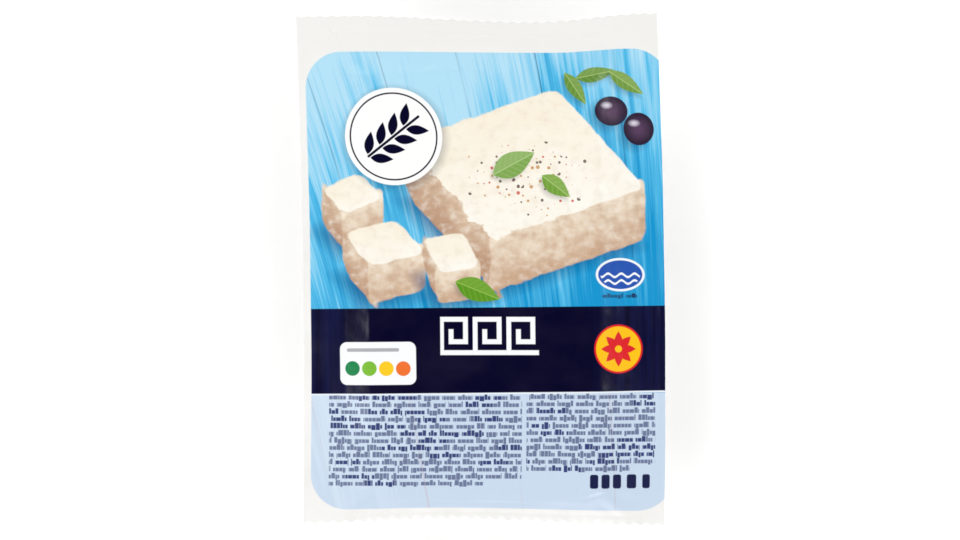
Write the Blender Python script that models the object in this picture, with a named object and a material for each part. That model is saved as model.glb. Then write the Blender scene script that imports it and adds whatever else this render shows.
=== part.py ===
"""A sealed film pack that holds a block of brined cheese, lying on its back with the print up.

Two plastic webs are welded together round the block. The lower web is drawn into a pocket
that hugs the cheese. The upper web stays nearly flat and carries the print. A toothed knife
cuts both ends, and plain knives cut the sides. The pack is shut, so it is one solid.
"""

import math

import bmesh
import bpy
from mathutils import Vector, noise

MM = 0.001

# The cheese block inside, which gives the pack its form
BLOCK_WIDTH = 71 * MM
BLOCK_LENGTH = 131 * MM
BLOCK_HEIGHT = 20.6 * MM
BLOCK_CORNER = 5 * MM
BLOCK_AT = -5 * MM  # the block lies nearer to the lower end

# The two webs as they are cut
FILM_WIDTH = 113.1 * MM
FILM_THICKNESS = 0.4 * MM
UPPER_END = 79.9 * MM
UPPER_SKEW = 0.35 * MM  # neither cut is quite square to the sides
LOWER_END = -80 * MM
LOWER_SKEW = -0.48 * MM
TEETH = 30
UPPER_TOOTH = 0.4 * MM
LOWER_TOOTH = 0.9 * MM
TOOTH_REACH = 2 * MM

# The vacuum draws the middle of each end in, over these shares of the half width
UPPER_DRAW = 2.45 * MM
UPPER_DRAW_AT = 0.35
UPPER_DRAW_REACH = (1.1, 0.6)
LOWER_DRAW = 2 * MM
LOWER_DRAW_AT = -0.19
LOWER_DRAW_REACH = (0.82, 1.25)
DRAW_DEPTH = 7 * MM

# The whole pack bows towards its upper left corner
BOW_AT = -40 * MM
BOW_RADIUS = 2590 * MM

# The brim round the block, which hangs below the block's face
BRIM_FALL = 4.6 * MM
BRIM_REACH = 11 * MM
EDGE_SOFTNESS = 1.5 * MM
WAVE_HEIGHT = 0.7 * MM
WAVE_LENGTH = 46 * MM
CORNER_CURL = 1.6 * MM

# The pocket's wall, measured outwards from the block's outline
POCKET_FOOT = -2.5 * MM
POCKET_SHOULDER = 4.5 * MM
PLEAT_DEPTH = 0.8 * MM
PLEATS = 2  # in each corner
BRIM_RINGS = 4
WALL_RINGS = 8

# The uneven face of the cheese, which shows through the tight film
FACE_RELIEF = 0.35 * MM
FACE_GRAIN = 17 * MM

# The print: a rounded panel that runs off the right side, with three fields of colour
PANEL_LEFT = -53.7 * MM
PANEL_TOP = 68.6 * MM
PANEL_BOTTOM = -75 * MM
PANEL_CORNER = 10 * MM
BAND_TOP = -11.85 * MM
BAND_BOTTOM = -37.95 * MM

# Stretches of the face's lattice along the pack: where each ends, and its number of rows
ROW_STRETCHES = (
    (-75.5 * MM, 2),
    (-66 * MM, 8),
    (BAND_BOTTOM, 4),
    (BAND_TOP, 4),
    (54 * MM, 8),
    (66 * MM, 8),
    (UPPER_END, 6),
)

COLOURS = {
    "white_film": (0.87, 0.87, 0.86),
    "sky_print": (0.08, 0.42, 0.74),
    "navy_print": (0.008, 0.007, 0.03),
    "pale_print": (0.56, 0.69, 0.84),
}


def smooth(t):
    """0 below 0, 1 above 1, and an even rise between."""
    t = min(max(t, 0.0), 1.0)
    return t * t * (3 - 2 * t)


def hump(offset, reach):
    """1 at no offset, falling to 0 at the reach that is given for each side."""
    before, after = reach
    share = abs(offset) / (after if offset > 0 else before)
    return math.cos(math.pi / 2 * min(share, 1.0)) ** 2


def row_places():
    """Where the rows of the face's lattice lie along the pack."""
    places = [LOWER_END]
    for end, steps in ROW_STRETCHES:
        begin = places[-1]
        places += [begin + (end - begin) * (k + 1) / steps for k in range(steps)]
    return places


def tooth(s):
    """0 on a tooth's tip and 1 in the gap beside it."""
    turn = (s + 1) / 2 * TEETH
    return 2 * abs(turn - round(turn))


def plan(across, along):
    """Where a place on the flat film lies in plan, once the pack is drawn in and bowed."""
    s = 2 * across / FILM_WIDTH
    upper = UPPER_SKEW * s - UPPER_DRAW * hump(s - UPPER_DRAW_AT, UPPER_DRAW_REACH)
    lower = LOWER_SKEW * s + LOWER_DRAW * hump(s - LOWER_DRAW_AT, LOWER_DRAW_REACH)
    to_upper = UPPER_END - along
    to_lower = along - LOWER_END
    y = along + upper * math.exp(-to_upper / DRAW_DEPTH) + lower * math.exp(-to_lower / DRAW_DEPTH)
    y -= UPPER_TOOTH * tooth(s) * smooth(1 - to_upper / TOOTH_REACH)
    y += LOWER_TOOTH * tooth(s) * smooth(1 - to_lower / TOOTH_REACH)
    return across - (y - BOW_AT) ** 2 / (2 * BOW_RADIUS), y


def corner_centre(across, along):
    """The place nearest to this one within the block, if a corner's radius is left free."""
    side = BLOCK_WIDTH / 2 - BLOCK_CORNER
    end = BLOCK_LENGTH / 2 - BLOCK_CORNER
    return Vector((
        min(max(across, -side), side),
        min(max(along, BLOCK_AT - end), BLOCK_AT + end),
    ))


def gap_to_block(across, along):
    """How far a place lies outside the block's outline, or 0 within it."""
    reach = (Vector((across, along)) - corner_centre(across, along)).length
    return max(reach - BLOCK_CORNER, 0)


def face_height(across, along):
    """Height of the printed web: tight on the cheese, then a brim that falls away and waves."""
    gap = gap_to_block(across, along)
    brim = 1 - math.exp(-gap * gap / (gap + EDGE_SOFTNESS) / BRIM_REACH)
    grain = noise.noise(Vector((across, along, 0)) / FACE_GRAIN)
    turn = 2 * math.pi * (along + across / 2) / WAVE_LENGTH
    corner = (2 * across / FILM_WIDTH) * (along / UPPER_END)
    height = BLOCK_HEIGHT + FACE_RELIEF * grain * (1 - brim) - BRIM_FALL * brim
    height += WAVE_HEIGHT * brim * brim * math.sin(turn)
    return height + CORNER_CURL * smooth(2 * abs(corner) - 1) * corner * brim


def pleat(outward):
    """How far the pocket's wall folds outwards, in pleats that fan round each corner."""
    angle = math.atan2(abs(outward.y), abs(outward.x))
    return PLEAT_DEPTH * math.sin(2 * angle) * math.cos(4 * PLEATS * angle)


def pocket_rings():
    """The rings of the pocket from the cut edge to its base: part of the brim, part of the wall."""
    yield from ((1 - k / BRIM_RINGS, 1.0) for k in range(BRIM_RINGS))
    yield from ((0.0, 1 - k / WALL_RINGS) for k in range(WALL_RINGS + 1))


def pocket_place(across, along, brim, wall):
    """Where a ring of the pocket passes between this place on the cut edge and the block."""
    centre = corner_centre(across, along)
    outward = Vector((across, along)) - centre
    gap = POCKET_FOOT + (POCKET_SHOULDER - POCKET_FOOT) * wall
    gap += brim * (outward.length - BLOCK_CORNER - POCKET_SHOULDER)
    gap += pleat(outward) * smooth(2 * wall) * smooth(2 - 2 * wall)
    ring = centre + outward.normalized() * (BLOCK_CORNER + gap)
    x, y = plan(*ring)
    return x, y, (face_height(*ring) - FILM_THICKNESS) * smooth(wall)


def field_of(across, along):
    """Which colour of the print a place on the face has."""
    side = PANEL_LEFT + PANEL_CORNER - across
    end = max(along - PANEL_TOP, PANEL_BOTTOM - along) + PANEL_CORNER
    if math.hypot(max(side, 0), max(end, 0)) > PANEL_CORNER:
        return "white_film"
    if along > BAND_TOP:
        return "sky_print"
    return "navy_print" if along > BAND_BOTTOM else "pale_print"


def make_face(bm, flat):
    """The printed web: a lattice with two columns for each tooth."""
    rows = row_places()
    last = len(rows) - 1
    bmesh.ops.create_grid(bm, x_segments=2 * TEETH, y_segments=last, size=1)
    for vert in bm.verts:
        across = vert.co.x * FILM_WIDTH / 2
        along = rows[round((vert.co.y + 1) / 2 * last)]
        vert[flat] = (across, along, 0)
        vert.co = (*plan(across, along), face_height(across, along))
    for face in bm.faces:
        middle = face.calc_center_median()
        face.material_index = list(COLOURS).index(field_of(middle.x, middle.y))


def make_pocket(bm, flat):
    """The drawn web: the face's cut edge, extruded ring by ring down to the pocket's base."""
    edges = [edge for edge in bm.edges if edge.is_boundary]
    for brim, wall in pocket_rings():
        made = bmesh.ops.extrude_edge_only(bm, edges=edges)["geom"]
        edges = [item for item in made if isinstance(item, bmesh.types.BMEdge) and item.is_boundary]
        for vert in {vert for edge in edges for vert in edge.verts}:
            vert.co = pocket_place(vert[flat].x, vert[flat].y, brim, wall)
    bmesh.ops.edgeloop_fill(bm, edges=edges)


def make_materials():
    """One plastic film finish for each colour of the print."""
    made = []
    for name, colour in COLOURS.items():
        material = bpy.data.materials.new(name)
        material.use_nodes = True
        finish = material.node_tree.nodes["Principled BSDF"].inputs
        finish["Base Color"].default_value = (*colour, 1)
        finish["Roughness"].default_value = 0.35
        material.diffuse_color = (*colour, 1)
        made.append(material)
    return made


def make_pack():
    """The whole pack, with the middle of its box over the origin."""
    bm = bmesh.new()
    flat = bm.verts.layers.float_vector.new("flat")  # a place on the film before it is drawn
    make_face(bm, flat)
    make_pocket(bm, flat)
    bmesh.ops.recalc_face_normals(bm, faces=bm.faces)
    bmesh.ops.triangulate(bm, faces=bm.faces)
    middle = [
        -(min(vert.co[axis] for vert in bm.verts) + max(vert.co[axis] for vert in bm.verts)) / 2
        for axis in (0, 1)
    ]
    bmesh.ops.translate(bm, verts=bm.verts, vec=(*middle, 0))

    mesh = bpy.data.meshes.new("pack")
    bm.to_mesh(mesh)
    bm.free()
    for material in make_materials():
        mesh.materials.append(material)
    mesh.shade_smooth()
    mesh.set_sharp_from_angle(angle=math.radians(40))
    pack = bpy.data.objects.new("pack", mesh)
    bpy.context.scene.collection.objects.link(pack)


for thing in list(bpy.data.objects):
    bpy.data.objects.remove(thing)
make_pack()
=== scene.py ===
import math

import bmesh
import bpy
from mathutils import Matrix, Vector, noise


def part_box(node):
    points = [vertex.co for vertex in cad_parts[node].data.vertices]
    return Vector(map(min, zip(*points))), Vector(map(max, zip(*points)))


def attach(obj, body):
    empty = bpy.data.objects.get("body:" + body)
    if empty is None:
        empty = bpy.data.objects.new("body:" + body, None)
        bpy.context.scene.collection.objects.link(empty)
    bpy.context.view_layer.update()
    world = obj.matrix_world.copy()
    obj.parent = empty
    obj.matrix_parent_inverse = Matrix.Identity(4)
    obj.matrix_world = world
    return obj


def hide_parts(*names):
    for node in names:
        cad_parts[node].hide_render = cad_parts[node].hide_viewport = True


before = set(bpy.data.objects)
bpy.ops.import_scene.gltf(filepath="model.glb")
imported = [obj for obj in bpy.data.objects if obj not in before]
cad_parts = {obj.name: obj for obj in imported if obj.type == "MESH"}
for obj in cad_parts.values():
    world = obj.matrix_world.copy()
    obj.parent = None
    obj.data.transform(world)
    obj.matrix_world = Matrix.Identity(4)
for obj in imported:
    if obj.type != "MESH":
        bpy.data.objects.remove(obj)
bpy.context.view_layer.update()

# The two webs
# A cheese pack is two plastic webs, welded together round the block once the air is out. The
# upper web is printed and stays nearly flat. The lower web is drawn into a pocket that hugs the
# block. A toothed knife cuts both ends, and plain knives cut the sides.

MM = 0.001  # every size of the pack is in millimetres, and this makes it metres

# The cheese block inside, which gives the pack its form
BLOCK_WIDTH = 71
BLOCK_LENGTH = 131
BLOCK_HEIGHT = 20.6
BLOCK_CORNER = 5
BLOCK_AT = -5  # the block lies nearer to the lower end

# The two webs as they are cut
FILM_WIDTH = 113.1
FILM_THICKNESS = 0.4
UPPER_END = 79.9
UPPER_SKEW = 0.35  # neither cut is quite square to the sides
LOWER_END = -80
LOWER_SKEW = -0.48
TEETH = 30
UPPER_TOOTH = 0.4
LOWER_TOOTH = 0.9
TOOTH_REACH = 2

# The vacuum draws the middle of each end in, over these shares of the half width
UPPER_DRAW = 2.45
UPPER_DRAW_AT = 0.35
UPPER_DRAW_REACH = (1.1, 0.6)
LOWER_DRAW = 2
LOWER_DRAW_AT = -0.19
LOWER_DRAW_REACH = (0.82, 1.25)
DRAW_DEPTH = 7

# The whole pack bows towards its upper left corner
BOW_AT = -40
BOW_RADIUS = 2590

# The brim round the block, which hangs below the block's face
BRIM_FALL = 4.6
BRIM_REACH = 11
EDGE_SOFTNESS = 1.5
WAVE_HEIGHT = 0.7
WAVE_LENGTH = 46
CORNER_CURL = 1.6

# The mesh, and the square of film that its UV maps cover
COLUMNS_IN_A_TOOTH = 8
ROWS = 330
SHEET = 200
BOARDS_FAN = 0.0022  # the printed boards spread downwards and lean, on a UV map of their own
BOARDS_LEAN = 0.16
SHARP_ANGLE = 50

# Lumps of the cheese under the tight film: their size and how far they stand out
LUMPS = ((17, 0.35), (6.5, 0.2), (2.6, 0.07))

# Fine ripples in the slack brim: their size across and along, how high, and the slice of noise
BRIM_RIPPLES = (((5, 38), 0.22, 3), ((26, 4), 0.16, 7))

# Creases in the brim and on the block's edges: two ends, how high and how wide
CREASES = (
    ((-33, -71.6), (31, -71.8), -0.16, 0.6),
    ((31, -71.8), (38, -70), -0.18, 0.6),
    ((-30, -73.2), (24, -73.6), -0.12, 0.5),
    ((-15, 60.9), (3, 61.1), -0.14, 0.6),
    ((-34.6, 67), (-35, 56), 0.14, 0.6),
    ((-35.6, -13), (-35.8, -22), 0.16, 0.6),
    ((-35.6, -37), (-35.4, -43), 0.14, 0.5),
    ((41, 12), (41.6, -44), 0.1, 1.2),
    ((48.4, 30), (49, -58), -0.1, 0.9),
    ((52, 6), (51.8, -40), 0.1, 0.8),
    ((54.8, 48), (55, -52), -0.08, 0.7),
    ((33.6, -13), (27, -28.5), 0.12, 1),
    ((-49.5, 28), (-48.8, -30), 0.1, 1.2),
    ((-44, -6), (-43.2, -64), -0.1, 1),
    ((-46.8, 79), (-43, 68), -0.3, 1),
    ((33.6, 80), (33.2, 70), 0.18, 0.8),
    ((41.6, 80), (41, 70.5), -0.18, 0.9),
    ((-50, 73.5), (-46, 76), -0.2, 0.9),
    ((-20, 74.6), (50, 75.6), -0.12, 0.7),
)

# The weld's inner outline, which shows as a shallow groove round the print
WELD_SIDE = 55.2
WELD_UPPER = 74.4
WELD_LOWER = -77.2
WELD_CORNER = 10
WELD_DEPTH = 0.13
WELD_WIDTH = 0.45

# The folds at the block's corners, and how far they wander from an even fan
FAN_FOLDS = 5
FAN_HEIGHT = 0.14
FAN_REACH = 9
FAN_WANDER = 3


def smooth(t):
    """0 below 0, 1 above 1, and an even rise between."""
    t = min(max(t, 0.0), 1.0)
    return t * t * (3 - 2 * t)


def hump(offset, reach):
    """1 at no offset, falling to 0 at the reach that is given for each side."""
    before, after = reach
    share = abs(offset) / (after if offset > 0 else before)
    return math.cos(math.pi / 2 * min(share, 1.0)) ** 2


def tooth(s):
    """0 on a tooth's tip and 1 in the gap beside it."""
    turn = (s + 1) / 2 * TEETH
    return 2 * abs(turn - round(turn))


def plan(across, along):
    """Where a place on the flat film lies in plan, once the pack is drawn in and bowed."""
    s = 2 * across / FILM_WIDTH
    upper = UPPER_SKEW * s - UPPER_DRAW * hump(s - UPPER_DRAW_AT, UPPER_DRAW_REACH)
    lower = LOWER_SKEW * s + LOWER_DRAW * hump(s - LOWER_DRAW_AT, LOWER_DRAW_REACH)
    to_upper = UPPER_END - along
    to_lower = along - LOWER_END
    y = along + upper * math.exp(-to_upper / DRAW_DEPTH) + lower * math.exp(-to_lower / DRAW_DEPTH)
    y -= UPPER_TOOTH * tooth(s) * smooth(1 - to_upper / TOOTH_REACH)
    y += LOWER_TOOTH * tooth(s) * smooth(1 - to_lower / TOOTH_REACH)
    return across - (y - BOW_AT) ** 2 / (2 * BOW_RADIUS), y


def corner_centre(across, along):
    """The place nearest to this one within the block, if a corner's radius is left free."""
    side = BLOCK_WIDTH / 2 - BLOCK_CORNER
    end = BLOCK_LENGTH / 2 - BLOCK_CORNER
    return Vector((
        min(max(across, -side), side),
        min(max(along, BLOCK_AT - end), BLOCK_AT + end),
    ))


def ridge(across, along, start, end, height, width):
    """A fold along a straight stretch, highest in its middle and gone at its two ends."""
    run = Vector(end) - Vector(start)
    place = Vector((across, along)) - Vector(start)
    share = min(max(place.dot(run) / run.length_squared, 0), 1)
    off = (place - run * share).length / width
    if off > 3:  # nothing of it is left there
        return 0.0
    return height * math.exp(-off * off) * math.sin(math.pi * min(max(share, 0.02), 0.98)) ** 0.5


def weld_groove(across, along):
    """The groove along the weld's outline."""
    side = abs(across) - WELD_SIDE + WELD_CORNER
    end = max(along - WELD_UPPER, WELD_LOWER - along) + WELD_CORNER
    reach = math.hypot(max(side, 0), max(end, 0)) + min(max(side, end), 0) - WELD_CORNER
    return -WELD_DEPTH * math.exp(-(reach / WELD_WIDTH) ** 2)


def corner_fan(outward):
    """Folds that fan out from each corner of the block, where the film has too much width."""
    angle = math.atan2(abs(outward.y), abs(outward.x))
    gap = max(outward.length - BLOCK_CORNER, 0) / FAN_REACH
    swell = gap * math.exp(1 - gap) * math.sin(2 * angle)
    wander = FAN_WANDER * noise.noise(outward.to_3d() / FAN_REACH)
    return FAN_HEIGHT * swell * math.cos(2 * FAN_FOLDS * angle + wander)


def face_height(across, along):
    """Height of the printed web: tight on the lumpy cheese, then a brim that falls and waves."""
    outward = Vector((across, along)) - corner_centre(across, along)
    gap = max(outward.length - BLOCK_CORNER, 0)
    brim = 1 - math.exp(-gap * gap / (gap + EDGE_SOFTNESS) / BRIM_REACH)
    turn = 2 * math.pi * (along + across / 2) / WAVE_LENGTH
    corner = (2 * across / FILM_WIDTH) * (along / UPPER_END)
    height = BLOCK_HEIGHT - BRIM_FALL * brim + WAVE_HEIGHT * brim * brim * math.sin(turn)
    height += CORNER_CURL * smooth(2 * abs(corner) - 1) * corner * brim
    for size, rise in LUMPS:
        height += rise * noise.noise(Vector((across, along, 0)) / size) * (1 - brim)
    for (wide, tall), rise, slice_at in BRIM_RIPPLES:
        height += rise * brim * noise.noise(Vector((across / wide, along / tall, slice_at)))
    height += corner_fan(outward) + weld_groove(across, along)
    return height + sum(ridge(across, along, *crease) for crease in CREASES)


# The pocket's wall, measured outwards from the block's outline, and its rings of mesh
POCKET_FOOT = -2.5
POCKET_SHOULDER = 4.5
PLEAT_DEPTH = 0.8
PLEATS = 2  # in each corner
BRIM_RINGS = 20
WALL_RINGS = 16
BASE_RINGS = 14

# Hollows in the base and wrinkles in the wall: how high, their size, and the slice of noise
HOLLOWS = (0.35, 9, 30)
WRINKLES = (0.25, 5, 60)


def pleat(outward):
    """How far the pocket's wall folds outwards, in pleats that fan round each corner."""
    angle = math.atan2(abs(outward.y), abs(outward.x))
    return PLEAT_DEPTH * math.sin(2 * angle) * math.cos(4 * PLEATS * angle)


def pocket_rings():
    """The rings of the pocket from the cut edge inwards: shares of the brim, wall and base."""
    yield from ((1 - k / BRIM_RINGS, 1.0, 1.0) for k in range(BRIM_RINGS))
    yield from ((0.0, 1 - k / WALL_RINGS, 1.0) for k in range(WALL_RINGS + 1))
    yield from ((0.0, 0.0, 1 - k / BASE_RINGS) for k in range(1, BASE_RINGS))


def uneven(ring, height, size, slice_at):
    """How far the pocket's film stands off its even form at a place on a ring."""
    return height * noise.noise(Vector((*ring, slice_at)) / size)


def pocket_place(across, along, brim, wall, base):
    """Where a ring of the pocket passes between this place on the cut edge and the block."""
    centre = corner_centre(across, along)
    outward = Vector((across, along)) - centre
    gap = POCKET_FOOT + (POCKET_SHOULDER - POCKET_FOOT) * wall
    gap += brim * (outward.length - BLOCK_CORNER - POCKET_SHOULDER)
    gap += pleat(outward) * smooth(2 * wall) * smooth(2 - 2 * wall)
    ring = centre + outward.normalized() * (BLOCK_CORNER + gap)
    ring = Vector((0, BLOCK_AT)).lerp(ring, base)
    x, y = plan(*ring)
    hollow = max(uneven(ring, *HOLLOWS), 0) * smooth(6 - 6 * base)
    wrinkle = uneven(ring, *WRINKLES) * smooth(4 * wall) * smooth(4 - 4 * wall)
    height = (face_height(*ring) - FILM_THICKNESS) * smooth(wall)
    return x, y, height + hollow + wrinkle


def make_webs():
    """Both webs as one mesh: a lattice for the face, and its cut edge taken down ring by ring."""
    bm = bmesh.new()
    flat = bm.loops.layers.uv.new("film")
    boards = bm.loops.layers.uv.new("boards")
    place = bm.verts.layers.float_vector.new("place")
    bmesh.ops.create_grid(bm, x_segments=TEETH * COLUMNS_IN_A_TOOTH, y_segments=ROWS, size=1)
    middle = (UPPER_END + LOWER_END) / 2
    for vert in bm.verts:
        across = vert.co.x * FILM_WIDTH / 2
        along = middle + vert.co.y * (UPPER_END - LOWER_END) / 2
        vert[place] = (across, along, 0)
        vert.co = (*plan(across, along), face_height(across, along))
    edges = [edge for edge in bm.edges if edge.is_boundary]
    for ring in pocket_rings():
        made = bmesh.ops.extrude_edge_only(bm, edges=edges)["geom"]
        edges = [item for item in made if isinstance(item, bmesh.types.BMEdge) and item.is_boundary]
        for item in made:
            if isinstance(item, bmesh.types.BMFace):
                item.material_index = 1
        for vert in {vert for edge in edges for vert in edge.verts}:
            vert.co = pocket_place(vert[place].x, vert[place].y, *ring)
    base = bmesh.ops.edgeloop_fill(bm, edges=edges, mat_nr=1)["faces"]
    bmesh.ops.poke(bm, faces=base)
    for face in bm.faces:
        face.smooth = True
        for loop in face.loops:
            across, along = loop.vert[place].xy
            fanned = across - BOARDS_FAN * across * along + BOARDS_LEAN * along
            loop[flat].uv = (across / SHEET + 0.5, along / SHEET + 0.5)
            loop[boards].uv = (fanned / SHEET + 0.5, along / SHEET + 0.5)
    bmesh.ops.recalc_face_normals(bm, faces=bm.faces)
    return bm


def settle(bm):
    """Brings the webs to metres, with the middle of their box on the middle of the solid's."""
    bmesh.ops.scale(bm, verts=bm.verts, vec=(MM, MM, MM))
    low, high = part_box("pack")
    middle = [(low[axis] + high[axis]) / 2 for axis in (0, 1)]
    own = [
        (min(vert.co[axis] for vert in bm.verts) + max(vert.co[axis] for vert in bm.verts)) / 2
        for axis in (0, 1)
    ]
    shift = (middle[0] - own[0], middle[1] - own[1], 0)
    bmesh.ops.translate(bm, verts=bm.verts, vec=shift)


def take_web(bm, name, web):
    """Makes one web's own object from the mesh of both."""
    own = bm.copy()
    others = [face for face in own.faces if face.material_index != web]
    bmesh.ops.delete(own, geom=others, context="FACES")
    for face in own.faces:
        face.material_index = 0
    mesh = bpy.data.meshes.new(name)
    own.to_mesh(mesh)
    own.free()
    mesh.set_sharp_from_angle(angle=math.radians(SHARP_ANGLE))
    piece = bpy.data.objects.new(name, mesh)
    bpy.context.scene.collection.objects.link(piece)
    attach(piece, "root")
    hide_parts("pack")
    return piece


webs = make_webs()
settle(webs)
printed_web = take_web(webs, "printed_web", 0)
drawn_web = take_web(webs, "drawn_web", 1)
webs.free()

# The print
# Ink lies on the inner side of the clear upper web, so it has no height of its own, and the
# film's gloss lies over it. Every shape is worked out from its place on the flat film, which
# the UV map holds, and the outlines are distances in millimetres.

VECTOR = "NodeSocketVector"
NUMBER = "NodeSocketFloat"
COLOUR = "NodeSocketColor"
STUDIO_LIGHT = 1.21  # the studio light shows a flat colour this much brighter
INK_SOFTNESS = 0.12  # ink fades out over this much on each side of an outline


def ink(red, green, blue):
    """The node colour that shows as this screen colour, from 0 to 255, in the studio light."""
    shares = [value / 255 for value in (red, green, blue)]
    linear = [s / 12.92 if s < 0.04045 else ((s + 0.055) / 1.055) ** 2.4 for s in shares]
    return (*(value / STUDIO_LIGHT for value in linear), 1)


def add_node(tree, kind, values=None, **settings):
    """Adds a node. A value is a constant for its socket, or another node's output."""
    node = tree.nodes.new(kind)
    for name, setting in settings.items():
        setattr(node, name, setting)
    for name, value in (values or {}).items():
        if isinstance(value, bpy.types.NodeSocket):
            tree.links.new(value, node.inputs[name])
        else:
            node.inputs[name].default_value = value
    return node


def maths(tree, operation, *values):
    """A sum, product or the like of numbers."""
    node = add_node(tree, "ShaderNodeMath", dict(enumerate(values)), operation=operation)
    return node.outputs[0]


def vectors(tree, operation, *values):
    """A sum, product or the like of vectors."""
    node = add_node(tree, "ShaderNodeVectorMath", dict(enumerate(values)), operation=operation)
    return node.outputs["Value" if operation in ("LENGTH", "DISTANCE", "DOT_PRODUCT") else "Vector"]


def part_along(tree, vector, direction):
    """How far a vector reaches in a direction."""
    return vectors(tree, "DOT_PRODUCT", vector, direction)


def ramp(tree, value, start, end):
    """0 where the value is at the start, 1 where it is at the end, and even between."""
    values = {"Value": value, "From Min": start, "From Max": end}
    return add_node(tree, "ShaderNodeMapRange", values).outputs[0]


def lay(tree, share, under, over):
    """Lays one colour over another by a share from 0 to 1."""
    values = {0: share, 6: under, 7: over}
    return add_node(tree, "ShaderNodeMix", values, data_type="RGBA").outputs[2]


def chance_of(tree, number):
    """A chance from 0 to 1, always the same for the same number."""
    values = {"W": number}
    return add_node(tree, "ShaderNodeTexWhiteNoise", values, noise_dimensions="1D").outputs["Value"]


def print_over(tree, under, distance, colour, softness=INK_SOFTNESS):
    """Prints a shape, whose ink ends where the distance to its outline is 0."""
    return lay(tree, ramp(tree, distance, softness, -softness), under, colour)


def spread(tree, film, stretch):
    """Places on the film, scaled so that a pattern has this size in millimetres each way."""
    values = {"Vector": film, "Scale": (SHEET / stretch[0], SHEET / stretch[1], 1)}
    return add_node(tree, "ShaderNodeMapping", values).outputs[0]


def grain(tree, film, stretch, detail=2.0):
    """Cloudy noise from 0 to 1, of some size in millimetres each way."""
    values = {"Vector": spread(tree, film, stretch), "Scale": 1.0, "Detail": detail}
    return add_node(tree, "ShaderNodeTexNoise", values, noise_dimensions="2D").outputs[0]


def start_group(name, takes, gives):
    """Starts a node group. Returns its tree, what it takes and what it gives."""
    tree = bpy.data.node_groups.new(name, "ShaderNodeTree")
    for label, kind in takes.items():
        tree.interface.new_socket(label, in_out="INPUT", socket_type=kind)
    for label, kind in gives.items():
        tree.interface.new_socket(label, in_out="OUTPUT", socket_type=kind)
    taken = tree.nodes.new("NodeGroupInput").outputs
    return tree, taken, tree.nodes.new("NodeGroupOutput").inputs


def use_group(tree, group, values):
    """Places a node group and returns its outputs."""
    return add_node(tree, "ShaderNodeGroup", values, node_tree=group).outputs


def make_rounded_box():
    """A box with rounded corners: the distance to its outline."""
    takes = {"Place": VECTOR, "Middle": VECTOR, "Right": VECTOR, "Up": VECTOR}
    takes |= {"Half Width": NUMBER, "Half Height": NUMBER, "Corner": NUMBER}
    tree, taken, given = start_group("rounded_box", takes, {"Distance": NUMBER})
    moved = vectors(tree, "SUBTRACT", taken["Place"], taken["Middle"])
    away = []
    for direction, half in (("Right", "Half Width"), ("Up", "Half Height")):
        reach = maths(tree, "ABSOLUTE", part_along(tree, moved, taken[direction]))
        reach = maths(tree, "SUBTRACT", reach, taken[half])
        away.append(maths(tree, "ADD", reach, taken["Corner"]))
    squares = [maths(tree, "POWER", maths(tree, "MAXIMUM", reach, 0), 2) for reach in away]
    outside = maths(tree, "SQRT", maths(tree, "ADD", *squares))
    inside = maths(tree, "MINIMUM", maths(tree, "MAXIMUM", *away), 0)
    distance = maths(tree, "SUBTRACT", maths(tree, "ADD", outside, inside), taken["Corner"])
    tree.links.new(distance, given["Distance"])
    return tree


LEAF_TAPER = -0.3  # a leaf is slimmer towards its tip
LEAF_SLIMMEST = 0.5  # but keeps at least this share of its width
VEIN_ALONG = 3.2  # the side veins are waves that slant, in radians per millimetre each way
VEIN_SLANT = -2.6
SIDE_VEINS = 0.35
SUNNY_HALF = 0.3


def make_leaf():
    """A leaf that points to the right: the distance to its outline, and how pale it is."""
    takes = {"Place": VECTOR, "Middle": VECTOR, "Right": VECTOR, "Up": VECTOR}
    takes |= {"Length": NUMBER, "Width": NUMBER}
    tree, taken, given = start_group("leaf", takes, {"Distance": NUMBER, "Veins": NUMBER})
    moved = vectors(tree, "SUBTRACT", taken["Place"], taken["Middle"])
    run = part_along(tree, moved, taken["Right"])
    side = part_along(tree, moved, taken["Up"])
    off = maths(tree, "ABSOLUTE", side)
    share = maths(tree, "DIVIDE", maths(tree, "MULTIPLY", run, 2), taken["Length"])
    swell = maths(tree, "SUBTRACT", maths(tree, "MULTIPLY", share, share), 1)
    skew = maths(tree, "MULTIPLY_ADD", share, LEAF_TAPER, 1)
    skew = maths(tree, "MAXIMUM", skew, LEAF_SLIMMEST)
    edge = maths(tree, "MULTIPLY", maths(tree, "MULTIPLY", swell, skew), taken["Width"])
    distance = maths(tree, "MULTIPLY_ADD", edge, 0.5, off)
    slant = maths(tree, "MULTIPLY_ADD", off, VEIN_SLANT, maths(tree, "MULTIPLY", run, VEIN_ALONG))
    side_veins = ramp(tree, maths(tree, "SINE", slant), 0.7, 1)
    veins = maths(tree, "MULTIPLY", side_veins, SIDE_VEINS)
    veins = maths(tree, "MAXIMUM", ramp(tree, off, 0.3, 0.05), veins)
    sunny = maths(tree, "MULTIPLY", ramp(tree, side, 0, 0.5), SUNNY_HALF)
    veins = maths(tree, "MAXIMUM", veins, maths(tree, "MULTIPLY_ADD", side_veins, 0.2, sunny))
    tree.links.new(distance, given["Distance"])
    tree.links.new(veins, given["Veins"])
    return tree


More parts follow.
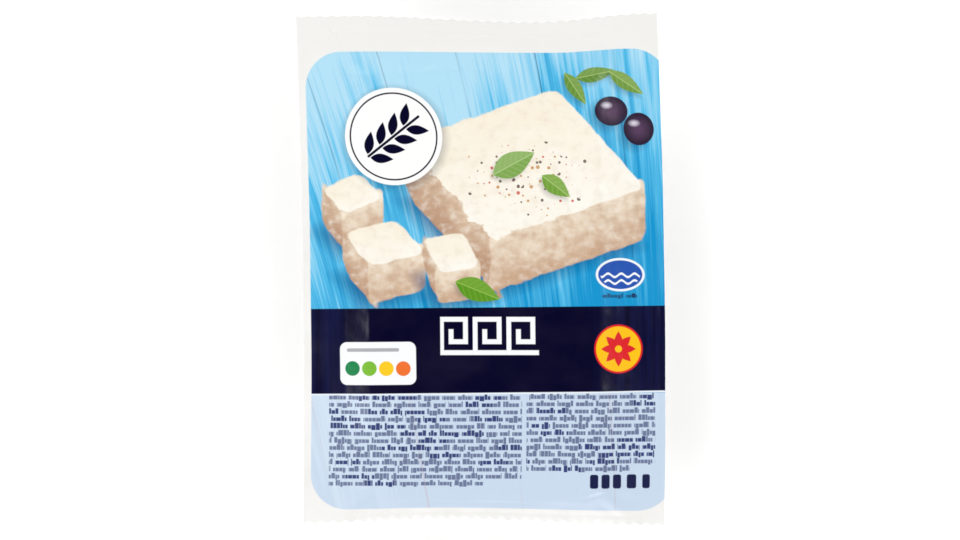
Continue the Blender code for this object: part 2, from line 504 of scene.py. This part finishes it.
def make_facet():
    """A slanted four-sided face, given by a corner and the inward normals of two sides."""
    takes = {"Place": VECTOR, "Corner": VECTOR, "First": VECTOR, "Second": VECTOR}
    takes |= {"First Size": NUMBER, "Second Size": NUMBER}
    gives = {"Distance": NUMBER, "First Share": NUMBER, "Second Share": NUMBER}
    tree, taken, given = start_group("facet", takes, gives)
    moved = vectors(tree, "SUBTRACT", taken["Place"], taken["Corner"])
    reach = []
    for side in ("First", "Second"):
        inward = part_along(tree, moved, taken[side])
        beyond = maths(tree, "SUBTRACT", inward, taken[side + " Size"])
        reach.append(maths(tree, "MAXIMUM", maths(tree, "MULTIPLY", inward, -1), beyond))
        share = maths(tree, "DIVIDE", inward, taken[side + " Size"])
        tree.links.new(share, given[side + " Share"])
    tree.links.new(maths(tree, "SMOOTH_MAX", *reach, 5), given["Distance"])
    return tree


# What makes a board's paint deeper: brush strokes, by their size across and along, their detail
# and their share, then each plank's own tone, and its place on the sheet
BRUSH_STROKES = (((9, 70), 3, 0.7), ((1.7, 46), 4, 0.9), ((0.5, 26), 3, 0.45))
PLANK_TONE = 0.35
DEEPER_ACROSS = 0.8
DEEPER_UPWARDS = -1.6
LEAST_DEPTH = 0.5


def make_boards():
    """Painted boards: planks that fan out, with brush streaks, worn patches and dark seams."""
    takes = {"Pale": COLOUR, "Mid": COLOUR, "Deep": COLOUR, "Seam": COLOUR, "Plank": NUMBER}
    tree, taken, given = start_group("painted_boards", takes, {"Colour": COLOUR})
    fanned = add_node(tree, "ShaderNodeUVMap", uv_map="boards").outputs["UV"]
    depth = LEAST_DEPTH
    strokes = []
    for size, detail, share in BRUSH_STROKES:
        strokes.append(grain(tree, fanned, size, detail))
        depth = maths(tree, "MULTIPLY_ADD", strokes[-1], share, depth)
    broad, streak = strokes[:2]
    sides = add_node(tree, "ShaderNodeSeparateXYZ", {"Vector": fanned}).outputs
    plank = maths(tree, "DIVIDE", maths(tree, "MULTIPLY", sides["X"], SHEET), taken["Plank"])
    tone = chance_of(tree, maths(tree, "FLOOR", plank))
    deeper = ((tone, PLANK_TONE), (sides["X"], DEEPER_ACROSS), (sides["Y"], DEEPER_UPWARDS))
    for value, share in deeper:
        depth = maths(tree, "MULTIPLY_ADD", value, share, depth)
    colour = lay(tree, ramp(tree, depth, 0.75, 1.2), taken["Pale"], taken["Mid"])
    colour = lay(tree, ramp(tree, depth, 1.1, 1.6), colour, taken["Deep"])
    offset = maths(tree, "ABSOLUTE", maths(tree, "SUBTRACT", maths(tree, "FRACT", plank), 0.5))
    wobble = maths(tree, "MULTIPLY_ADD", streak, 0.02, -0.01)
    seam = ramp(tree, maths(tree, "ADD", offset, wobble), 0.486, 0.498)
    seam = maths(tree, "MULTIPLY", seam, ramp(tree, broad, 0.25, 0.7))
    colour = lay(tree, maths(tree, "MULTIPLY", seam, 0.75), colour, taken["Seam"])
    tree.links.new(colour, given["Colour"])
    return tree


# Small print: the lengths of its phrases, words and letters, the gaps as shares of those, and
# the shares of a row at which a letter's head and foot lie
PHRASE_LENGTH = 9
WORD_LENGTH = 5.6
WORD_GAP = 0.09
LETTER_WIDTH = 1.15
LETTER_GAP = 0.13
LETTER_HEAD = 0.3
LETTER_FOOT = 0.82
TALL_LETTERS = (0.66, 0.26)  # the letters past this chance reach this much further up
LONG_LETTERS = (0.82, 0.22)  # and these reach further down
BOLD_PHRASES = (0.74, 0.2)  # the phrases past this chance are this much darker


def make_small_print():
    """Small print that can't be read: rows of strokes, with gaps between the words."""
    takes = {"Place": VECTOR, "Left": NUMBER, "Top": NUMBER, "Width": NUMBER, "Rows": NUMBER}
    takes |= {"Pitch": NUMBER, "Seed": NUMBER}
    tree, taken, given = start_group("small_print", takes, {"Ink": NUMBER})
    run = maths(tree, "SUBTRACT", part_along(tree, taken["Place"], (1, 0, 0)), taken["Left"])
    down = maths(tree, "SUBTRACT", taken["Top"], part_along(tree, taken["Place"], (0, 1, 0)))
    down = maths(tree, "DIVIDE", down, taken["Pitch"])
    row = maths(tree, "FLOOR", down)
    within = maths(tree, "SUBTRACT", down, row)
    lot = maths(tree, "MULTIPLY_ADD", row, 37.31, taken["Seed"])
    phrase, word, letter = (
        maths(tree, "ADD", maths(tree, "DIVIDE", run, length), lot)
        for length in (PHRASE_LENGTH, WORD_LENGTH, LETTER_WIDTH)
    )
    chance = chance_of(tree, maths(tree, "FLOOR", phrase))
    gaps = []
    for line, gap in ((word, WORD_GAP), (letter, LETTER_GAP)):
        cells = add_node(
            tree, "ShaderNodeTexVoronoi", {"W": line, "Scale": 1.0},
            voronoi_dimensions="1D", feature="DISTANCE_TO_EDGE",
        )
        gaps.append(ramp(tree, cells.outputs["Distance"], gap * 0.6, gap))
    each = add_node(
        tree, "ShaderNodeTexVoronoi", {"W": letter, "Scale": 1.0}, voronoi_dimensions="1D",
    )
    traits = add_node(tree, "ShaderNodeSeparateColor", {"Color": each.outputs["Color"]}).outputs
    rise, drop, bold = (
        maths(tree, "MULTIPLY", maths(tree, "GREATER_THAN", trait, limit), extra)
        for trait, (limit, extra) in (
            (traits[0], TALL_LETTERS), (traits[1], LONG_LETTERS), (chance, BOLD_PHRASES),
        )
    )
    head = maths(tree, "SUBTRACT", LETTER_HEAD, rise)
    foot = maths(tree, "ADD", LETTER_FOOT, drop)
    body = ramp(tree, maths(tree, "SUBTRACT", within, head), -0.05, 0.05)
    for share in (
        ramp(tree, maths(tree, "SUBTRACT", foot, within), -0.05, 0.05),
        gaps[0],
        maths(tree, "MULTIPLY_ADD", gaps[1], 0.5, 0.5),
        maths(tree, "ADD", bold, 0.75),
    ):
        body = maths(tree, "MULTIPLY", body, share)
    last = maths(tree, "COMPARE", row, maths(tree, "SUBTRACT", taken["Rows"], 1), 0.5)
    width = maths(tree, "MULTIPLY", taken["Width"], maths(tree, "MULTIPLY_ADD", last, -0.2, 1))
    for reach, end in ((run, width), (down, taken["Rows"])):
        body = maths(tree, "MULTIPLY", body, maths(tree, "GREATER_THAN", reach, 0))
        body = maths(tree, "MULTIPLY", body, maths(tree, "LESS_THAN", reach, end))
    tree.links.new(body, given["Ink"])
    return tree


rounded_box = make_rounded_box()
leaf = make_leaf()
facet = make_facet()
painted_boards = make_boards()
small_print = make_small_print()

print_material = bpy.data.materials.new("printed_film")
print_material.use_nodes = True
tree = print_material.node_tree
finish = tree.nodes["Principled BSDF"]
film = add_node(tree, "ShaderNodeUVMap", uv_map="film").outputs["UV"]
place = vectors(tree, "MULTIPLY_ADD", film, (SHEET, SHEET, 0), (-SHEET / 2, -SHEET / 2, 0))
place_x = part_along(tree, place, (1, 0, 0))
place_y = part_along(tree, place, (0, 1, 0))


def headings(turn):
    """The right and up directions of a shape that is turned by some degrees."""
    x, y = math.cos(math.radians(turn)), math.sin(math.radians(turn))
    return {"Right": (x, y, 0), "Up": (-y, x, 0)}


def box_at(middle, half, corner=0.0, turn=0.0, at=place):
    """The distance to a rounded box."""
    values = {"Place": at, "Middle": (*middle, 0), "Half Width": half[0], "Half Height": half[1]}
    return use_group(tree, rounded_box, values | headings(turn) | {"Corner": corner})["Distance"]


def leaf_at(middle, length, width, turn):
    """A leaf's outputs: the distance to its outline, and how pale it is."""
    values = {"Place": place, "Middle": (*middle, 0), "Length": length, "Width": width}
    return use_group(tree, leaf, values | headings(turn))


def disc_at(middle, radius):
    """The distance to a disc."""
    return maths(tree, "SUBTRACT", vectors(tree, "DISTANCE", place, (*middle, 0)), radius)


def oval_at(middle, half):
    """About the distance to an oval."""
    share = vectors(tree, "DIVIDE", vectors(tree, "SUBTRACT", place, (*middle, 0)), (*half, 1))
    reach = maths(tree, "SUBTRACT", vectors(tree, "LENGTH", share), 1)
    return maths(tree, "MULTIPLY", reach, min(half))


def ring_of(distance, width):
    """A line of some width along a shape's outline."""
    return maths(tree, "SUBTRACT", maths(tree, "ABSOLUTE", distance), width / 2)


def shadow_over(under, distance, spread_out, strength, colour):
    """Darkens what lies under a shape that is drawn later."""
    share = maths(tree, "MULTIPLY", ramp(tree, distance, spread_out, -spread_out), strength)
    return lay(tree, share, under, colour)


# The painted boards: blue ones for the picture, and pale ones that lie under the small print

picture = use_group(tree, painted_boards, {
    "Pale": ink(178, 223, 244), "Mid": ink(92, 194, 236), "Deep": ink(20, 148, 206),
    "Seam": ink(20, 74, 120), "Plank": 21.0,
})["Colour"]
pale_boards = use_group(tree, painted_boards, {
    "Pale": ink(215, 231, 246), "Mid": ink(210, 226, 242), "Deep": ink(201, 217, 236),
    "Seam": ink(198, 194, 204), "Plank": 34.0,
})["Colour"]

# The pictured cheese: a block and three cubes, drawn as slanted faces with crumbly edges

CHEESE_LIT = ink(255, 251, 242)
CHEESE_TOP = ink(252, 248, 238)
CHEESE_CREAM = ink(247, 238, 219)
CHEESE_FRONT = ink(243, 229, 207)
CHEESE_FOOT = ink(203, 170, 142)
CHEESE_SIDE = ink(227, 205, 179)
CHEESE_DEEP = ink(186, 148, 121)
BLUE_SHADOW = ink(4, 84, 138)
OVERLAP = 3.5  # a side is drawn up under the top face, so that no board shows between them

broad = grain(tree, film, (7, 6), 3)
crumbs = grain(tree, film, (3.2, 2.6), 5)
torn = maths(tree, "MULTIPLY_ADD", crumbs, 1.8, -2.4)  # how far a torn edge steps in
torn = maths(tree, "ADD", torn, maths(tree, "MULTIPLY", broad, 3))


def normal_to(side, other):
    """The unit normal of one side, towards the other, and how far the other reaches along it."""
    normal = Vector((-side.y, side.x)).normalized()
    normal *= math.copysign(1, normal.dot(other))
    return (*normal, 0), normal.dot(other)


def facet_at(corner, first, second):
    """A slanted face's outputs: the distance to its outline, and the shares along two sides."""
    first, second = Vector(first), Vector(second)
    to_first, first_size = normal_to(second, first)
    to_second, second_size = normal_to(first, second)
    return use_group(tree, facet, {
        "Place": place, "Corner": (*corner, 0), "First": to_first, "Second": to_second,
        "First Size": first_size, "Second Size": second_size,
    })


def face_at(under, corner, first, second, tones, rough, tear):
    """Draws one slanted face of a piece of cheese, with a torn edge where the face begins."""
    face = facet_at(corner, first, second)
    share = maths(tree, "MULTIPLY_ADD", ramp(tree, face["First Share"], 0.6, 0), tear, 0.35)
    distance = maths(tree, "MULTIPLY_ADD", torn, share, face["Distance"])
    fade = maths(tree, "MULTIPLY_ADD", broad, 1.2, face["Second Share"])
    shade = lay(tree, ramp(tree, fade, 0.5, 1.6), tones[0], tones[1])
    for level, tone in ((0.3, CHEESE_DEEP), (0.78, CHEESE_LIT)):
        crumbly = maths(tree, "MULTIPLY", ramp(tree, crumbs, 0.5, level), rough)
        shade = lay(tree, crumbly, shade, tone)
    return print_over(tree, under, distance, shade, 0.25)


def cheese_at(under, corner, first, second, depth, tear):
    """Draws a block of cheese that stands on the boards, with its shadow round its foot."""
    corner = Vector(corner)
    raised = corner + Vector((0, OVERLAP))
    down = (0, -depth - OVERLAP)
    cast = facet_at(corner + Vector((-2, -depth - 2)), first, second)["Distance"]
    under = shadow_over(under, cast, 3, 0.85, BLUE_SHADOW)
    for edge, extra, tones, rough, torn_share in (
        (Vector(second), 3, (CHEESE_SIDE, CHEESE_DEEP), 0.45, 1),
        (Vector(first), 1.2, (CHEESE_FRONT, CHEESE_FOOT), 0.35, 0.3),
    ):
        longer = edge * (1 + extra / edge.length)
        start = raised + edge - longer
        under = face_at(under, start, longer, down, tones, rough, tear * torn_share)
    return face_at(under, corner, first, second, (CHEESE_TOP, CHEESE_CREAM), 0.1, tear)


# The pieces of cheese: each one's near corner, its two top edges, its depth and how torn it is
CHEESES = (
    ((3, 9), (48, 16.5), (-27, 31), 16, 1.5),
    ((-43, 17), (12, 5.5), (-7.5, 8), 11, 0.2),
    ((-35, 0.8), (17, 4.5), (-9, 10.5), 11.5, 0.3),
    ((-14, -1), (13, 2), (-5, 10.5), 9.8, 0.3),
)
for cheese in CHEESES:
    picture = cheese_at(picture, *cheese)

# Specks of pepper and oil on the block's upper face

PEPPER_MIDDLE = (14, 29)
PEPPER_HALF = (24, 13)
PEPPER_PITCH = (2, 2)
cells = add_node(
    tree, "ShaderNodeTexVoronoi", {"Vector": spread(tree, film, PEPPER_PITCH), "Scale": 1.0},
    voronoi_dimensions="2D",
)
lots = add_node(tree, "ShaderNodeSeparateColor", {"Color": cells.outputs["Color"]}).outputs
speck = maths(tree, "SUBTRACT", cells.outputs["Distance"], maths(tree, "MULTIPLY", lots[1], 0.3))
near = ramp(tree, oval_at(PEPPER_MIDDLE, PEPPER_HALF), 0, -9)
here = maths(tree, "LESS_THAN", lots[0], near)
speck = maths(tree, "MULTIPLY", ramp(tree, speck, 0.03, -0.03), here)
pepper = lay(tree, maths(tree, "GREATER_THAN", lots[2], 0.45), ink(84, 58, 52), ink(200, 142, 78))
pepper = lay(tree, maths(tree, "GREATER_THAN", lots[2], 0.82), pepper, ink(208, 66, 60))
picture = lay(tree, maths(tree, "MULTIPLY", speck, 0.85), picture, pepper)

# Leaves and olives: each leaf's middle, length, width, turn and greens, and each olive's middle
# and half size

LEAVES = (
    ((10, 33), 15, 7.5, 28, ink(128, 168, 84), ink(178, 204, 140)),
    ((23, 26), 11, 5.5, -38, ink(116, 160, 62), ink(170, 200, 120)),
    ((36.5, 61), 13, 4.6, 12, ink(98, 140, 58), ink(160, 190, 112)),
    ((46, 58.5), 13, 4.6, -34, ink(112, 152, 66), ink(168, 196, 120)),
    ((30, 56.5), 12, 4.4, -58, ink(104, 146, 60), ink(162, 190, 114)),
    ((-2, -6.5), 15, 7, -22, ink(92, 150, 34), ink(150, 190, 84)),
)
OLIVES = (((41, 49.5), (5.2, 4.6)), ((49.5, 44), (4.8, 5.1)))

for middle, length, width, turn, green, vein in LEAVES:
    cast = leaf_at((middle[0] - 0.8, middle[1] - 1), length, width, turn)["Distance"]
    picture = shadow_over(picture, cast, 0.9, 0.35, ink(60, 70, 70))
    drawn = leaf_at(middle, length, width, turn)
    picture = print_over(tree, picture, drawn["Distance"], lay(tree, drawn["Veins"], green, vein))

for middle, half in OLIVES:
    cast = oval_at((middle[0] - 1.6, middle[1] - 1.4), half)
    picture = shadow_over(picture, cast, 1.5, 0.45, ink(10, 60, 100))
    body = oval_at(middle, half)
    shade = lay(tree, ramp(tree, body, -0.5, -4), ink(44, 30, 52), ink(88, 62, 92))
    glint = ramp(tree, oval_at((middle[0] - 1.4, middle[1] + 1.8), (1.3, 0.8)), 0.5, -0.5)
    shade = lay(tree, maths(tree, "MULTIPLY", glint, 0.8), shade, ink(232, 226, 240))
    picture = print_over(tree, picture, body, shade)

# The round badge: a white disc with a thin navy ring and an olive sprig

NAVY = ink(1, 0, 37)
BADGE_AT = (-27.2, 41.5)
BADGE_RADIUS = 15.2
STEM_HALF = (10.4, 0.4)
SPRIG_TURN = 38
SPRIG_PAIRS = 4
PAIR_PITCH = 4.8
PAIR_START = -7.2
LEAF_OFF_STEM = 3.1
LEAF_OUTWARDS = 42  # degrees off the stem

cast = disc_at((BADGE_AT[0] + 0.4, BADGE_AT[1] - 0.9), BADGE_RADIUS + 0.9)
picture = shadow_over(picture, cast, 1.5, 0.4, ink(20, 50, 80))
picture = print_over(tree, picture, disc_at(BADGE_AT, BADGE_RADIUS), ink(252, 252, 250))
picture = print_over(tree, picture, ring_of(disc_at(BADGE_AT, BADGE_RADIUS - 1.7), 0.5), NAVY)
picture = print_over(tree, picture, box_at(BADGE_AT, STEM_HALF, 0.3, SPRIG_TURN), NAVY)
heading = headings(SPRIG_TURN)
for k in range(SPRIG_PAIRS):
    for side in (-1, 1):
        middle = Vector(BADGE_AT) + Vector(heading["Right"][:2]) * (PAIR_PITCH * k + PAIR_START)
        middle += Vector(heading["Up"][:2]) * (LEAF_OFF_STEM * side)
        drawn = leaf_at(middle, 7.2, 2.9, SPRIG_TURN + LEAF_OUTWARDS * side)
        picture = print_over(tree, picture, drawn["Distance"], NAVY)

# The blue oval with two waves, and the line of print under it

OVAL_AT = (42.6, -1.6)
OVAL_HALF = (7.7, 5.2)
WAVE_DROPS = (0.2, 2.3)
WAVE_PACE = 1.5  # radians per millimetre
WAVE_SWELL = 0.55
ROYAL = ink(36, 84, 176)
NEAR_WHITE = ink(248, 250, 252)

picture = print_over(tree, picture, oval_at(OVAL_AT, OVAL_HALF), NEAR_WHITE)
inner = oval_at(OVAL_AT, (OVAL_HALF[0] - 0.7, OVAL_HALF[1] - 0.7))
picture = print_over(tree, picture, inner, ROYAL)
for drop in WAVE_DROPS:
    swell = maths(tree, "SINE", maths(tree, "MULTIPLY", place_x, WAVE_PACE))
    crest = maths(tree, "MULTIPLY_ADD", swell, WAVE_SWELL, OVAL_AT[1] - drop)
    crest = maths(tree, "SUBTRACT", place_y, crest)
    wave = maths(tree, "MAXIMUM", ring_of(crest, 0.7), maths(tree, "ADD", inner, 0.5))
    picture = print_over(tree, picture, wave, NEAR_WHITE)


def small_print_over(under, left, top, width, rows, pitch, seed, colour):
    """Prints a column of small print."""
    words = use_group(tree, small_print, {
        "Place": place, "Left": left, "Top": top, "Width": width, "Rows": float(rows),
        "Pitch": pitch, "Seed": float(seed),
    })["Ink"]
    return lay(tree, words, under, colour)


picture = small_print_over(picture, 36.9, -7.4, 13.6, 1, 1.7, 5, ink(30, 50, 90))

# The pale field with two columns of small print and five plain blocks: each column's left, top,
# width, rows, pitch and seed, and each block's middle and width

FIELD_TOP = -38.5
COLUMNS = ((-48.7, -38.8, 60.3, 13, 2.25, 1), (13, -38.5, 40.4, 11, 2.25, 9))
BLOCKS = ((34.2, 2.6), (37.8, 2.6), (41.4, 2.6), (46, 3), (50.6, 2.4))
BLOCKS_AT = -66.2
BLOCKS_HALF = 2.2

picture = print_over(tree, picture, maths(tree, "SUBTRACT", place_y, FIELD_TOP), pale_boards)
for column in COLUMNS:
    picture = small_print_over(picture, *column, ink(32, 44, 108))
for middle, width in BLOCKS:
    block = box_at((middle, BLOCKS_AT), (width / 2, BLOCKS_HALF), 0.7)
    picture = print_over(tree, picture, block, ink(26, 32, 72))

# The navy band over a thin pale line, with the key pattern, the plate and the flower seal

BAND_MIDDLE = (1.5, -25.1)
BAND_HALF = (62, 13.3)
BAND_TURN = 0.55
# Painted reflections in the navy: soft paler patches over the block's face, bluish streaks on its
# slopes
NAVY_REFLECTION_PATCHES = ink(22, 17, 46)
NAVY_SLOPE_REFLECTION = ink(17, 20, 64)

pale_line = box_at((BAND_MIDDLE[0], BAND_MIDDLE[1] - 0.5), BAND_HALF, 0, BAND_TURN)
picture = print_over(tree, picture, pale_line, ink(236, 243, 250))
# Painted reflection: soft paler patches where the tight film over the lumpy block mirrors the light
patches = ramp(tree, grain(tree, film, (24, 15), 3), 0.44, 0.72)
navy_and_reflections = lay(tree, maths(tree, "MULTIPLY", patches, 0.6), NAVY, NAVY_REFLECTION_PATCHES)
# Painted reflection: bluish streaks where the film slopes down off the block's long sides
sides = ramp(tree, maths(tree, "ABSOLUTE", maths(tree, "ADD", place_x, 1)), 33, 44)
sides = maths(tree, "MULTIPLY", sides, ramp(tree, grain(tree, film, (2.6, 70), 3), 0.32, 0.68))
navy_and_reflections = lay(tree, sides, navy_and_reflections, NAVY_SLOPE_REFLECTION)
picture = print_over(tree, picture, box_at(BAND_MIDDLE, BAND_HALF, 0, BAND_TURN), navy_and_reflections)

# The key pattern's strokes, by the middle and half size of each
KEY_STROKES = (
    ((5.25, 0), (5.3, 0.75)), ((0.75, 5.2), (0.75, 5.9)), ((4.5, 10.4), (4.5, 0.75)),
    ((8.25, 6.9), (0.75, 4.2)), ((6, 3.4), (3, 0.75)), ((3.75, 5), (0.75, 2.3)),
)
KEYS = 3
KEY_PITCH = 10.5
KEY_LEFT = -14.2
KEY_FOOT = -25.9
within = maths(tree, "MODULO", maths(tree, "SUBTRACT", place_x, KEY_LEFT), KEY_PITCH)
above = maths(tree, "SUBTRACT", place_y, KEY_FOOT)
in_key = add_node(tree, "ShaderNodeCombineXYZ", {"X": within, "Y": above}).outputs[0]
key = box_at(*KEY_STROKES[0], at=in_key)
for middle, half in KEY_STROKES[1:]:
    key = maths(tree, "MINIMUM", key, box_at(middle, half, at=in_key))
ends = box_at((KEY_LEFT + KEYS * KEY_PITCH / 2, KEY_FOOT + 5), (KEYS * KEY_PITCH / 2 - 0.4, 9))
picture = print_over(tree, picture, maths(tree, "MAXIMUM", key, ends), NEAR_WHITE)

PLATE_MIDDLE = (-33.3, -29.3)
PLATE_HALF = (11.9, 6.7)
PLATE_COLOURS = (ink(6, 132, 72), ink(128, 190, 60), ink(252, 204, 40), ink(240, 116, 52))
DOT_PITCH = 5.3
DOT_RADIUS = 2.3
picture = print_over(tree, picture, box_at(PLATE_MIDDLE, PLATE_HALF, 2.2, BAND_TURN), NEAR_WHITE)
bar = box_at((PLATE_MIDDLE[0] - 1.6, PLATE_MIDDLE[1] + 4.2), (8.2, 0.55), 0.5, BAND_TURN)
picture = print_over(tree, picture, bar, ink(176, 176, 180))
for k, colour in enumerate(PLATE_COLOURS):
    dot = disc_at((PLATE_MIDDLE[0] - 8 + DOT_PITCH * k, PLATE_MIDDLE[1] - 1.6), DOT_RADIUS)
    picture = print_over(tree, picture, dot, colour)

SEAL_AT = (41.8, -24.8)
SEAL_RADIUS = 7.65
PETALS = 8
PETAL_OFF_MIDDLE = 2.9
GOLD = ink(255, 196, 26)
CRIMSON = ink(222, 38, 44)
picture = print_over(tree, picture, disc_at(SEAL_AT, SEAL_RADIUS), CRIMSON)
picture = print_over(tree, picture, disc_at(SEAL_AT, SEAL_RADIUS - 0.6), GOLD)
for k in range(PETALS):
    turn = 360 * k / PETALS
    middle = Vector(SEAL_AT) + PETAL_OFF_MIDDLE * Vector(headings(turn)["Right"][:2])
    picture = print_over(tree, picture, leaf_at(middle, 5.2, 2.5, turn)["Distance"], CRIMSON)
picture = print_over(tree, picture, disc_at(SEAL_AT, 1.1), GOLD)

# The panel that holds the picture, and the white film round it

FILM_WHITE = ink(245, 244, 242)
FILM_GREY = ink(239, 238, 235)
PANEL_MIDDLE = (2.65, -3.6)
PANEL_HALF = (56.95, 71.8)
PANEL_CORNER = 11.5
PANEL_LIFT = 0.9  # the film is pulled up a little at the upper right

lift = maths(tree, "MULTIPLY", ramp(tree, place_x, 28, 44), ramp(tree, place_y, 0, 60))
lift = add_node(tree, "ShaderNodeCombineXYZ", {"Y": maths(tree, "MULTIPLY", lift, PANEL_LIFT)})
lowered = vectors(tree, "SUBTRACT", place, lift.outputs[0])
panel = box_at(PANEL_MIDDLE, PANEL_HALF, PANEL_CORNER, at=lowered)
cloud = grain(tree, film, (14, 22), 3)
# The white film is greyer in soft clouds, and towards its upper end
greying = maths(tree, "ADD", ramp(tree, cloud, 0.3, 0.7), ramp(tree, place_y, 64, 74))
white_film = lay(tree, maths(tree, "MINIMUM", greying, 1.3), FILM_WHITE, FILM_GREY)
colour = print_over(tree, white_film, panel, picture)
tree.links.new(colour, finish.inputs["Base Color"])

# The finish of the printed film: satin gloss over the ink, with a fine waviness

ripple = grain(tree, film, (1.6, 3.4), 3)
bump = add_node(tree, "ShaderNodeBump", {"Height": ripple, "Strength": 0.25, "Distance": 0.15 * MM})
tree.links.new(bump.outputs[0], finish.inputs["Normal"])
tree.links.new(maths(tree, "MULTIPLY_ADD", cloud, 0.12, 0.24), finish.inputs["Roughness"])
finish.inputs["Specular IOR Level"].default_value = 0.32
printed_web.data.materials.append(print_material)

# The drawn web's film
# The lower web is plain milky film with no print. Drawing has left it a little cloudy and
# finely rippled on the walls of the pocket.

CLOUDS_IN_A_METRE = 60.0
RIPPLES_IN_A_METRE = 420.0

plain_material = bpy.data.materials.new("plain_film")
plain_material.use_nodes = True
back = plain_material.node_tree
finish = back.nodes["Principled BSDF"]
spot = add_node(back, "ShaderNodeTexCoord").outputs["Object"]
cloud, ripple = (
    add_node(back, "ShaderNodeTexNoise", {"Vector": spot, "Scale": scale, "Detail": detail}).outputs[0]
    for scale, detail in ((CLOUDS_IN_A_METRE, 4.0), (RIPPLES_IN_A_METRE, 3.0))
)
tint = lay(back, ramp(back, cloud, 0.3, 0.7), ink(247, 246, 243), ink(238, 236, 231))
back.links.new(tint, finish.inputs["Base Color"])
bump = add_node(back, "ShaderNodeBump", {"Height": ripple, "Strength": 0.3, "Distance": 0.2 * MM})
back.links.new(bump.outputs[0], finish.inputs["Normal"])
back.links.new(maths(back, "MULTIPLY_ADD", cloud, 0.16, 0.24), finish.inputs["Roughness"])
drawn_web.data.materials.append(plain_material)

# Floor, light and camera
# A plain pale floor, four softboxes round the pack, and a camera straight above it. The softboxes
# stand off the pack's own directions, which keeps their glare off the print.

FLOOR_SIZE = 3.0
LIGHT_REACH = 1.0
LIGHT_HEIGHT = 0.55
LIGHT_SIZE = 0.7
LIGHT_TURN = 22.5
LIGHT_POWERS = {"right": 9.8, "upper": 8.8, "left": 10.8, "lower": 8.6}
FILL_LIGHT = 0.03
CAMERA_LENS = 100
CAMERA_SENSOR = 36
PHOTO_SIZE = (960, 540)
PHOTO_SCALE = 3200  # pixels in a metre, on the pack's face
PACK_AT = (480.4, 269.9)  # where the photograph shows the middle of the pack

bpy.ops.mesh.primitive_plane_add(size=FLOOR_SIZE)
floor = bpy.context.object
floor.name = "floor"
floor_material = bpy.data.materials.new("pale_floor")
floor_material.use_nodes = True
finish = floor_material.node_tree.nodes["Principled BSDF"]
finish.inputs["Base Color"].default_value = (1, 1, 1, 1)
finish.inputs["Roughness"].default_value = 0.9
finish.inputs["Specular IOR Level"].default_value = 0.1
floor.data.materials.append(floor_material)

for k, (name, power) in enumerate(LIGHT_POWERS.items()):
    light = bpy.data.lights.new(name + "_softbox", "AREA")
    light.size = LIGHT_SIZE
    light.energy = power
    lamp = bpy.data.objects.new(name + "_softbox", light)
    angle = math.radians(90 * k + LIGHT_TURN)
    lamp.location = (LIGHT_REACH * math.cos(angle), LIGHT_REACH * math.sin(angle), LIGHT_HEIGHT)
    lamp.rotation_euler = (-lamp.location).to_track_quat("-Z", "Y").to_euler()
    bpy.context.scene.collection.objects.link(lamp)

world = bpy.data.worlds.new("studio")
world.use_nodes = True
fill = world.node_tree.nodes["Background"].inputs
fill["Color"].default_value = (1, 1, 1, 1)
fill["Strength"].default_value = FILL_LIGHT
bpy.context.scene.world = world
bpy.context.scene.view_settings.view_transform = "Standard"

low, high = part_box("pack")
camera_data = bpy.data.cameras.new("camera")
camera_data.lens = CAMERA_LENS
camera_data.sensor_width = CAMERA_SENSOR
camera = bpy.data.objects.new("camera", camera_data)
reach = PHOTO_SIZE[0] / PHOTO_SCALE * CAMERA_LENS / CAMERA_SENSOR
camera.location = (
    (low[0] + high[0]) / 2 + (PHOTO_SIZE[0] / 2 - PACK_AT[0]) / PHOTO_SCALE,
    (low[1] + high[1]) / 2 + (PACK_AT[1] - PHOTO_SIZE[1] / 2) / PHOTO_SCALE,
    high[2] - BRIM_FALL * MM / 2 + reach,
)
bpy.context.scene.collection.objects.link(camera)
bpy.context.scene.camera = camera
